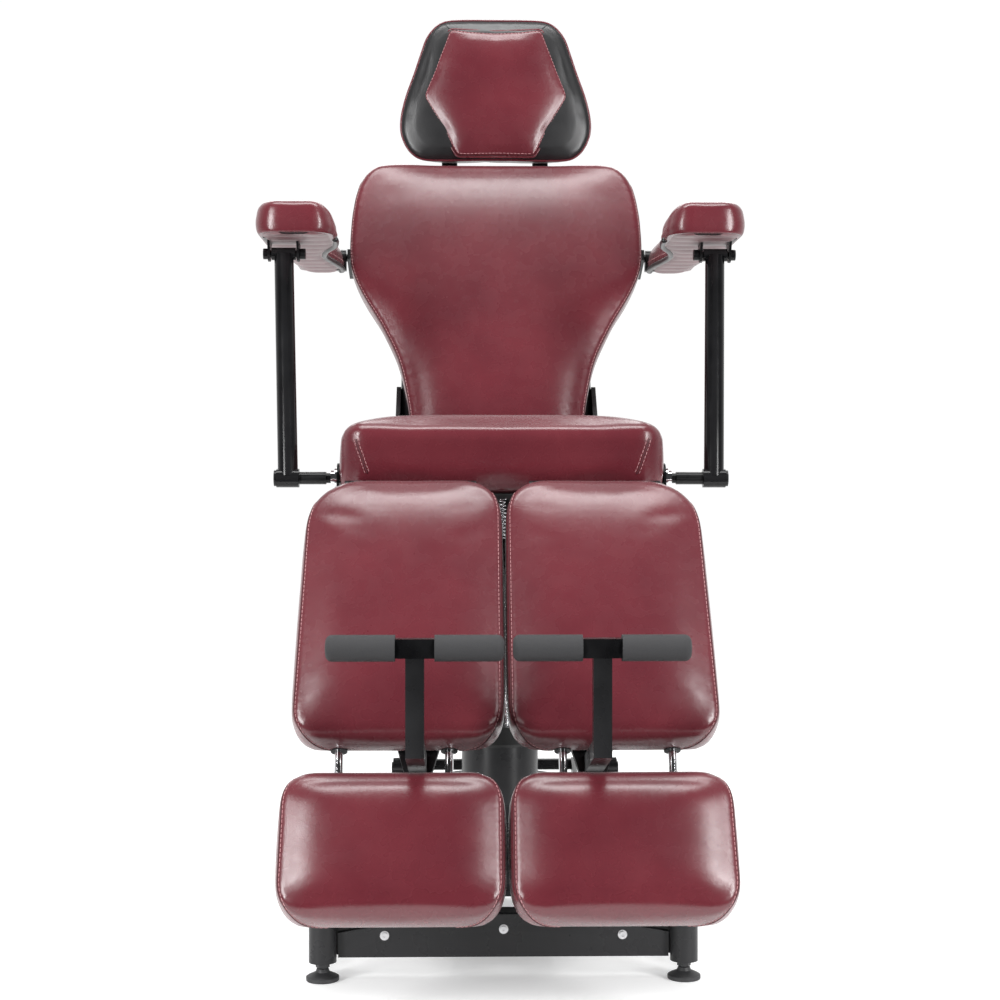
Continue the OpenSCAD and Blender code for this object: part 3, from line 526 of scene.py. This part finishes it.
def inflate(piece, cap, voxel, pinned=None, even=10):
    """Remeshes a cushion in voxel-millimetre steps and lets Cloth puff it up, held along its
    pinned seams. No point moves further than cap millimetres."""
    piece.data.remesh_voxel_size = voxel * MM
    bpy.context.view_layer.objects.active = piece
    piece.select_set(True)
    bpy.ops.object.voxel_remesh()
    piece.select_set(False)
    start = np.array([v.co for v in piece.data.vertices])
    holds = np.zeros(len(start))
    if pinned is not None:
        tree = BVHTree.FromPolygons([tuple(p) for p in pinned],
                                    [(i, i + 1, i + 1) for i in range(len(pinned) - 1)])
        for i, point in enumerate(start):
            near = tree.find_nearest(tuple(point), PIN_REACH)
            if near[3] is not None:
                holds[i] = 1.0 - near[3] / PIN_REACH
    group = piece.vertex_groups.new(name="held")
    for i in np.where(holds > 0.02)[0]:
        group.add([int(i)], float(holds[i]), "REPLACE")
    cloth = piece.modifiers.new("puff", "CLOTH")
    cloth.settings.use_pressure = True
    cloth.settings.uniform_pressure_force = PRESSURE
    cloth.settings.effector_weights.gravity = 0.0
    cloth.settings.vertex_group_mass = "held"
    cloth.settings.pin_stiffness = 0.6
    cloth.settings.quality = 4
    cloth.settings.tension_stiffness = 30
    cloth.settings.compression_stiffness = 30
    cloth.settings.bending_stiffness = 2.0
    cloth.point_cache.frame_start = 1
    cloth.point_cache.frame_end = SIM_FRAMES
    scene = bpy.context.scene
    for step in range(1, SIM_FRAMES + 1):
        scene.frame_set(step)
    graph = bpy.context.evaluated_depsgraph_get()
    puffed = np.array([v.co for v in piece.evaluated_get(graph).data.vertices])
    piece.modifiers.clear()
    scene.frame_set(1)
    moved = puffed - start
    far = np.linalg.norm(moved, axis=1)
    limit = cap * MM
    moved *= (limit * np.tanh(far / limit) / np.maximum(far, 1e-9))[:, None]
    edges = np.empty(len(piece.data.edges) * 2, int)
    piece.data.edges.foreach_get("vertices", edges)
    moved = evened(moved, edges.reshape(-1, 2), even)
    for vertex, place in zip(piece.data.vertices, start + moved):
        vertex.co = place
    piece.vertex_groups.clear()
    soften(piece, 4)


def soften(piece, times):
    """Evens out the remesh's steps, then adds one subdivision."""
    smooth = piece.modifiers.new("even", "SMOOTH")
    smooth.factor = 0.5
    smooth.iterations = times
    finer = piece.modifiers.new("finer", "SUBSURF")
    finer.levels = finer.render_levels = 1
    apply_modifiers(piece)
    piece.data.shade_smooth()


def surface_of(piece):
    """A search tree of the piece's surface."""
    shape = bmesh.new()
    shape.from_mesh(piece.data)
    tree = BVHTree.FromBMesh(shape)
    shape.free()
    return tree


def laid_on(tree, path, lift):
    """The path moved onto the surface and lifted off it, with the surface's normals."""
    places, normals = [], []
    for point in path:
        place, normal, _, _ = tree.find_nearest(tuple(point))
        normal = normal if (Vector(point) - place).dot(normal) >= -0.02 else -normal
        places.append(np.array(place + normal * lift))
        normals.append(np.array(normal))
    return np.array(places), np.array(normals)


def smooth_path(path, times=2):
    """The path with its points evened out between its ends."""
    path = path.copy()
    for _ in range(times):
        path[1:-1] = (path[:-2] + 2 * path[1:-1] + path[2:]) / 4
    return path


def seam_parts(tree, path, radius=1.0, lift=0.1, closed=False):
    """A sewn edge: a thin rolled fold laid along the path."""
    line = even_points(path, step=0.004, closed=closed)
    line, _ = laid_on(tree, line, lift * MM)
    return tube(smooth_path(line, 3) if not closed else line, radius * MM, 8, closed)


STITCH = 4.6                  # a thread's length, the gap after it and its radius, in millimetres
STITCH_GAP = 2.2
STITCH_R = 0.55


def stitch_parts(tree, path, away, offset=3.5):
    """Short threads beside a seam, moved along the surface towards away by offset millimetres."""
    line = even_points(path, step=0.003)
    line, normals = laid_on(tree, line, 0.0)
    ahead = np.gradient(line, axis=0)
    ahead /= np.maximum(np.linalg.norm(ahead, axis=1), 1e-9)[:, None]
    aside = np.cross(normals, ahead)
    sign = np.sign(np.sum(aside * (np.asarray(away) - line), axis=1))
    line = line + aside * sign[:, None] * offset * MM
    line, _ = laid_on(tree, line, 0.0)
    line = even_points(smooth_path(line), step=(STITCH + STITCH_GAP) * MM)
    parts = []
    for a, b in zip(line[:-1], line[1:]):
        share = STITCH / (STITCH + STITCH_GAP)
        points = [a + (b - a) * s * share for s in (0, 0.15, 0.5, 0.85, 1)]
        places, directions = laid_on(tree, points, 0.0)
        lifts = np.array([-0.3, 0.12, 0.3, 0.12, -0.3]) * MM
        parts.append(tube(places + directions * lifts[:, None], STITCH_R * MM, 6))
    return parts


def upholster(name, node, body, plane, cap, voxel, outline=None, fill=0.75, bend=None, seam_run=None,
              lines=None, even=10, twin=False, **shape_args):
    """A whole cushion from a CAD pad: its cover, its seams and their topstitching, which twin puts on
    both sides. seam_run is the front and run of PadShape.seam. Returns the shape, cover and pieces."""
    face, depth, thickness = outline or face_outline(node, plane)
    shape = PadShape(face, depth, thickness, plane, **shape_args)
    cover = shape.piece(name, BURGUNDY, bend)
    if seam_run:
        lines = [shape.seam(s, *seam_run, bend) for s in (-1, 1)]
    inflate(cover, cap, voxel, np.vstack(lines) if lines else None, even)
    pieces = [cover]
    if lines:
        tree = surface_of(cover)
        middle = plane.world(np.array([[*shape.middle, depth]]))[0]
        folds = [seam_parts(tree, line) for line in lines]
        # The seam folds carry painted crease shade in their darker colour.
        pieces.append(join_parts(name + "_seams", folds, SEAM_SHADE))
        threads = [p for line in lines for p in stitch_parts(tree, line, middle)]
        if twin:
            threads += [p for line in lines
                        for p in stitch_parts(tree, line, 2 * line.mean(0) - middle)]
        pieces.append(join_parts(name + "_stitches", threads, THREAD))
    for piece in pieces:
        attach(piece, body)
    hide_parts(node)
    return shape, cover, pieces


def mirror_pieces(pieces, body, node):
    """The right-hand pieces made again on the chair's left."""
    for piece in pieces:
        copy = bpy.data.objects.new(piece.name.replace("right", "left"), piece.data.copy())
        bpy.context.collection.objects.link(copy)
        for vertex in copy.data.vertices:
            vertex.co.x = -vertex.co.x
        copy.data.flip_normals()
        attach(copy, body)
        if piece is pieces[0]:
            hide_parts(node)


# ---- backrest ----

upholster("back_cushion", "back_pad", "backrest", BACK, cap=5, voxel=6, crown=15, side_r=13, end_r=13,
          even=30, seam_run=(0.36, 90))

# ---- seat ----

# The front face slants back towards the bottom, so the cover is bent to follow the CAD solid.
seat_low, seat_high = (np.array(c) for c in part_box("seat_pad"))
SEAT_SLANT = 45 * MM


def bend_seat(points):
    """Draws the lower front of the seat back, in step with the CAD pad's slanted front."""
    bent = points.copy()
    deep = np.clip((points[:, 2] + seat_high[2]) / (seat_high[2] - seat_low[2]), 0, 1)
    length = seat_high[1] - seat_low[1]
    ahead = np.clip((seat_high[1] - points[:, 1]) / length, 0, 1)
    bent[:, 1] += SEAT_SLANT * deep * ahead
    return bent


SEAM_PLACES = [(239, 815), (233, 796), (226, 777), (220, 758), (214, 742)]    # x and z in millimetres


def seat_seam(side):
    """The corner seam on the seat's front face, running down and inwards from below the roll."""
    return even_points([(side * x * MM, seat_low[1] - 0.01, z * MM) for x, z in SEAM_PLACES], step=0.006)


seat_face = (box_outline(seat_low[:2], seat_high[:2], 40 * MM), -seat_high[2], seat_high[2] - seat_low[2])
upholster("seat_cushion", "seat_pad", "carriage", FLAT, outline=seat_face, cap=6, voxel=6, crown=11,
          side_r=30, end_r=32, bend=bend_seat, fill=0.8, lines=[seat_seam(-1), seat_seam(1)], even=16,
          twin=True)

# ---- leg pads and foot pads ----

# The right one is made, and the left one mirrors it.
leg_face = face_outline("leg_pad_right", LEGS)
NOSE = 9 * MM                 # how far the face's top stands out over the wall behind it
NOSE_REACH = (0.05, 0.04)     # below the top: where the drawing down starts, and over what height
NOSE_DEPTH = (0.016, 0.02)    # behind the face: where it starts, and over what depth


def bend_leg(points):
    """Draws the top wall down behind the nose, so that it clears the hinge."""
    bent = points.copy()
    top = leg_face[0][:, 1].max()
    high = np.clip((points[:, 1] - top + NOSE_REACH[0]) / NOSE_REACH[1], 0, 1)
    deep = np.clip((points[:, 2] - leg_face[1] - NOSE_DEPTH[0]) / NOSE_DEPTH[1], 0, 1)
    bent[:, 1] -= NOSE * high * deep ** 2 * (3 - 2 * deep)
    return bent


leg_parts = upholster("leg_cushion_right", "leg_pad_right", "leg_rest_right", LEGS, outline=leg_face,
                      cap=5, voxel=5, crown=14, side_r=12, end_r=22, bend=bend_leg,
                      seam_run=(0.3, 84))[2]
mirror_pieces(leg_parts, "leg_rest_left", "leg_pad_left")
foot_parts = upholster("foot_cushion_right", "footrest_pad_right", "footrest_right", LEGS, cap=5, voxel=5,
                       crown=13, side_r=12, end_r=22, even=5, seam_run=(0.3, 84))[2]
mirror_pieces(foot_parts, "footrest_left", "footrest_pad_left")

# ---- armrests ----

# A fat cushion over a quilted lining, with a black welt along the S of the inner edge.
arm_shape, arm_cover, arm_parts = upholster(
    "arm_cushion_right", "arm_pad_right", "armrest_right", FLAT, cap=2.5, voxel=4, crown=7, side_r=20,
    end_r=15, back_r=4, swell=2, start_in=-2, flat=3, inner_extra=16, fill=0.7)
# The underside is kept up, because the post swings in close below it when the back lies flat.
ARM_LIFT = 4.5 * MM
FLATTENED = 0.1               # what is left of the cushion's depth below arm_floor
arm_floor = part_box("arm_pad_right")[0][2] + ARM_LIFT
for vertex in arm_cover.data.vertices:
    vertex.co.z = max(vertex.co.z, arm_floor + FLATTENED * (vertex.co.z - arm_floor))
arm_tree = surface_of(arm_cover)
arm_edge = arm_shape.side(1)
front_y, rear_y = arm_edge[:, 1].min(), arm_edge[:, 1].max()
WELT_FRONT, WELT_REAR = 0.09, 0.008         # the welt's ends, from the cushion's ends
beside = (arm_edge[:, 1] > front_y + WELT_FRONT) & (arm_edge[:, 1] < rear_y - WELT_REAR)
on_inner = (arm_shape.normals[:, 0] < -0.2) & beside
arm_welt = FLAT.world(arm_edge[on_inner][np.argsort(arm_edge[on_inner, 1])])
welt = join_parts("arm_welt_right", [seam_parts(arm_tree, arm_welt, 5.0, 0.5)], BLACK_LEATHER)
welt_threads = stitch_parts(arm_tree, arm_welt + np.array([0.004, 0, 0.012]),
                            arm_welt.mean(0) + np.array([0, 0, 0.1]), offset=1.0)
welt_stitches = join_parts("arm_stitches_right", welt_threads, THREAD)

CHANNEL = 0.046               # from one cross seam of the lining to the next
LINING_IN = 0.009             # from the cushion's edge to the lining's
LINING_ROWS, LINING_COLUMNS = 150, 13


def lining():
    """The underside's cloth: cross channels between the armrest's two edges."""
    ring = arm_edge[:, :2] - arm_shape.normals * LINING_IN
    across = ring[:, 0].mean()
    inner = ring[ring[:, 0] < across]
    outer = ring[ring[:, 0] >= across]
    inner = inner[np.argsort(inner[:, 1])]
    outer = outer[np.argsort(outer[:, 1])]
    verts, faces = [], []
    for i, y in enumerate(np.linspace(front_y + 0.008, rear_y - 0.01, LINING_ROWS)):
        left = np.interp(y, inner[:, 1], inner[:, 0])
        right = np.interp(y, outer[:, 1], outer[:, 0])
        puff = abs(math.sin(math.pi * (y - front_y) / CHANNEL)) ** 0.6
        for k in range(LINING_COLUMNS):
            c = k / (LINING_COLUMNS - 1)
            edge = 1 - abs(2 * c - 1) ** 6
            drop = (0.4 + (1.2 + 2.6 * puff) * edge) * MM
            verts.append((left + (right - left) * c, y, arm_floor - drop))
            if i and k:
                a = i * LINING_COLUMNS + k
                faces.append((a, a - 1, a - LINING_COLUMNS - 1, a - LINING_COLUMNS))
    return new_piece("arm_lining_right", verts, faces, LINING_WITH_PAINTED_REFLECTION)


for piece in (welt, welt_stitches, lining()):
    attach(piece, "armrest_right")
    arm_parts.append(piece)
mirror_pieces(arm_parts, "armrest_left", "arm_pad_left")

# ---- headrest ----

# A black face with a raised hexagon in burgundy, burgundy sides and piping.
head_shape, head_cover, _ = upholster(
    "head_cushion", "head_pad", "headrest", UPRIGHT, cap=4, voxel=4, crown=5, side_r=12, end_r=14,
    taper=14, back_r=6, fill=0.7)
head_cover.data.materials.append(BLACK_LEATHER)
BLACK_DEPTH = 0.0085          # how far round the face's edge the black reaches
face_depth = head_shape.depth + BLACK_DEPTH
for polygon in head_cover.data.polygons:
    if polygon.center.y < face_depth and polygon.normal.y < -0.25:
        polygon.material_index = 1
head_tree = surface_of(head_cover)
head_low, head_high = (np.array(c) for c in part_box("head_pad"))
welt_line = UPRIGHT.world(head_shape.side(0.36))
head_welt = join_parts("head_piping", [seam_parts(head_tree, welt_line, 2.0, 0.6, closed=True)], BURGUNDY)

HEX = [(74, 7), (139, 121), (88, 250), (0, 246), (-88, 250), (-139, 121), (-74, 7)]    # millimetres
hexagon = np.array(HEX) * MM + np.array([0.0, head_low[2]])
hexagon = even_points(hexagon, count=220, closed=True)
for _ in range(3):
    hexagon = (np.roll(hexagon, 1, 0) + 2 * hexagon + np.roll(hexagon, -1, 0)) / 4
HEX_RISE, HEX_THICK = 7 * MM, 24 * MM
insert_shape = PadShape(hexagon, head_low[1] - HEX_RISE, HEX_THICK, UPRIGHT, crown=9, side_r=6, end_r=6,
                        back_r=2, start_in=1, swell=0.5, flat=3)
insert = insert_shape.piece("head_insert", BURGUNDY)
inflate(insert, 3.0, 3.5)
insert_line = insert_shape.side(0.62)
insert_line[:, 2] = head_low[1] - 2 * MM
insert_piping = join_parts("head_insert_piping",
                           [tube(UPRIGHT.world(insert_line), 2.1 * MM, 10, True)], BURGUNDY)
insert_tree = surface_of(insert)
hex_middle = np.array([0, head_low[1] - 0.02, (head_low[2] + head_high[2]) / 2])
hex_threads = stitch_parts(insert_tree, UPRIGHT.world(insert_shape.side(0.15)), hex_middle, offset=2.0)
insert_stitches = join_parts("head_insert_stitches", hex_threads, THREAD)


def head_seam(side):
    """The short seam from the hexagon's upper corner to the headrest's outer corner."""
    low = np.array([side * 88, -8, 250]) * MM
    high = np.array([side * 108, 0, 271]) * MM
    path = np.array([low + (high - low) * s for s in np.linspace(0, 1, 12)])
    path[:, 1] = 0
    path += np.array([0, head_low[1], head_low[2]])
    return seam_parts(head_tree, path, 0.9, 0.1)


corner_seams = join_parts("head_corner_seams", [head_seam(-1), head_seam(1)], BLACK_THREAD)
for piece in (head_welt, insert, insert_piping, insert_stitches, corner_seams):
    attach(piece, "headrest")

# ---- spring ----

SPRING_TOP, SPRING_LENGTH, SPRING_TURNS = 0.726, 0.062, 11
SPRING_R, SPRING_WIRE_R = 0.0062, 0.0011
SPRING_AHEAD = 0.183          # from the column's axis to the spring's, towards the front


def coil_spring():
    """The coil spring that hangs from the seat frame between the leg pads."""
    turns = np.linspace(0, 2 * math.pi * SPRING_TURNS, 24 * SPRING_TURNS)
    coil = np.column_stack([SPRING_R * np.cos(turns), COLUMN_Y - SPRING_AHEAD + SPRING_R * np.sin(turns),
                            SPRING_TOP - SPRING_LENGTH * turns / turns[-1]])
    return join_parts("stop_spring", [tube(coil, SPRING_WIRE_R, 8)], FINISHES["chrome"])


spring = coil_spring()
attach(spring, "carriage")

# ---- light and floor ----


def area_light(name, place, target, width, height, energy):
    """A rectangular softbox turned towards the target."""
    data = bpy.data.lights.new(name, "AREA")
    data.energy = energy
    data.shape = "RECTANGLE"
    data.size = width
    data.size_y = height
    light = bpy.data.objects.new(name, data)
    light.location = place
    light.rotation_euler = (Vector(target) - Vector(place)).to_track_quat("-Z", "Y").to_euler()
    bpy.context.collection.objects.link(light)


MIDDLE = (0, 0, 0.85)
area_light("box_left", (-1.85, -2.0, 1.2), MIDDLE, 0.45, 2.2, 72)
area_light("box_right", (1.85, -2.0, 1.2), MIDDLE, 0.45, 2.2, 72)
area_light("overhead", (0, -0.5, 3.3), MIDDLE, 2.4, 0.7, 55)
area_light("rear_top", (0, 2.2, 2.9), MIDDLE, 2.6, 1.2, 40)

# White behind the chair and dim in front of it, so that the covers keep their colour.
DIM_END, WHITE_START = 0.35, 0.75           # places from front to back
DIM = (0.05, 0.05, 0.052, 1)
WHITE = (1, 1, 1, 1)
SKY_STRENGTH = 1.02
world = bpy.data.worlds.new("studio")
world.use_nodes = True
sky = world.node_tree
toward = sky.nodes.new("ShaderNodeTexCoord")
parts = sky.nodes.new("ShaderNodeSeparateXYZ")
sky.links.new(toward.outputs["Generated"], parts.inputs["Vector"])
tone = sky.nodes.new("ShaderNodeValToRGB")
dim_stop, white_stop = tone.color_ramp.elements
dim_stop.position, dim_stop.color = DIM_END, DIM
white_stop.position, white_stop.color = WHITE_START, WHITE
halved = sky.nodes.new("ShaderNodeMapRange")
halved.inputs["From Min"].default_value = -1.0
sky.links.new(parts.outputs["Y"], halved.inputs["Value"])
sky.links.new(halved.outputs["Result"], tone.inputs["Fac"])
sky.links.new(tone.outputs["Color"], sky.nodes["Background"].inputs["Color"])
sky.nodes["Background"].inputs["Strength"].default_value = SKY_STRENGTH
bpy.context.scene.world = world
bpy.context.scene.view_settings.view_transform = "Standard"

floor_material, _, floor_shader, _ = node_material("floor")
floor_shader.inputs["Base Color"].default_value = (0.8, 0.8, 0.8, 1)
floor_shader.inputs["Roughness"].default_value = 0.8
floor_shader.inputs["Emission Color"].default_value = WHITE
floor_shader.inputs["Emission Strength"].default_value = 0.35
bpy.ops.mesh.primitive_circle_add(vertices=96, radius=1.9, fill_type="NGON", location=(0, 1.05, 0))
floor = bpy.context.object
floor.name = "floor"
floor.data.materials.append(floor_material)
